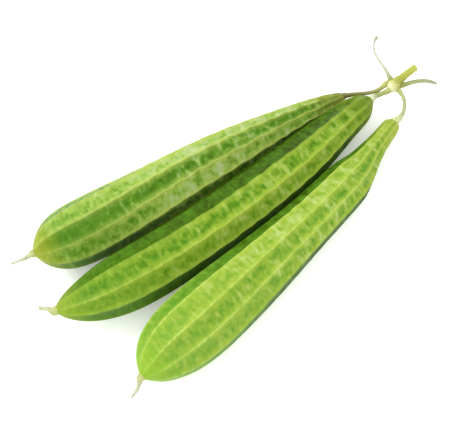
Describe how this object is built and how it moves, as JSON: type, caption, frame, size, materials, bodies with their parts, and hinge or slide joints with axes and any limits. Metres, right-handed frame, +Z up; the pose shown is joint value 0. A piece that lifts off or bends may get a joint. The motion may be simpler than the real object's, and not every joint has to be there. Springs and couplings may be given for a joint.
{
  "type": "bunch of ridge gourds",
  "caption": "Ridged green gourds lying side by side, still joined by curved stalks to a short cut piece of vine with tendrils, each with a withered style at its tip.",
  "frame": {"origin": "on the surface the bunch lies on, under the middle of its box", "axes": "+Z up from the surface; +X from the blossom ends to the vine; +Y towards the slim gourd"},
  "size_m": [0.3622, 0.1604, 0.0551],
  "materials": {
    "deep_green_skin": "fresh rind with a soft waxy sheen, deep green between pale ridges",
    "mid_green_skin": "fresh rind with a soft waxy sheen, mid green between yellow-green ridges",
    "bright_green_skin": "fresh rind with a soft waxy sheen, bright yellow-green with pale scars",
    "stalk_green": "soft ribbed stalk, pale at the collar",
    "withered_style": "dry and shrivelled, grey-green",
    "vine_green": "juicy yellow-green stem, ribbed along its length",
    "tendril_green": "thin pale tendril, slightly dull"
  },
  "bodies": {
    "root": {"slim_gourd": "deep_green_skin", "long_gourd": "mid_green_skin", "stout_gourd": "bright_green_skin", "slim_gourd_tail": "withered_style", "long_gourd_tail": "withered_style", "stout_gourd_tail": "withered_style", "slim_gourd_stalk": "stalk_green", "long_gourd_stalk": "stalk_green", "stout_gourd_stalk": "stalk_green", "vine_piece": "vine_green", "curled_tendril": "tendril_green", "straight_tendril": "tendril_green"}
  },
  "joints": []
}
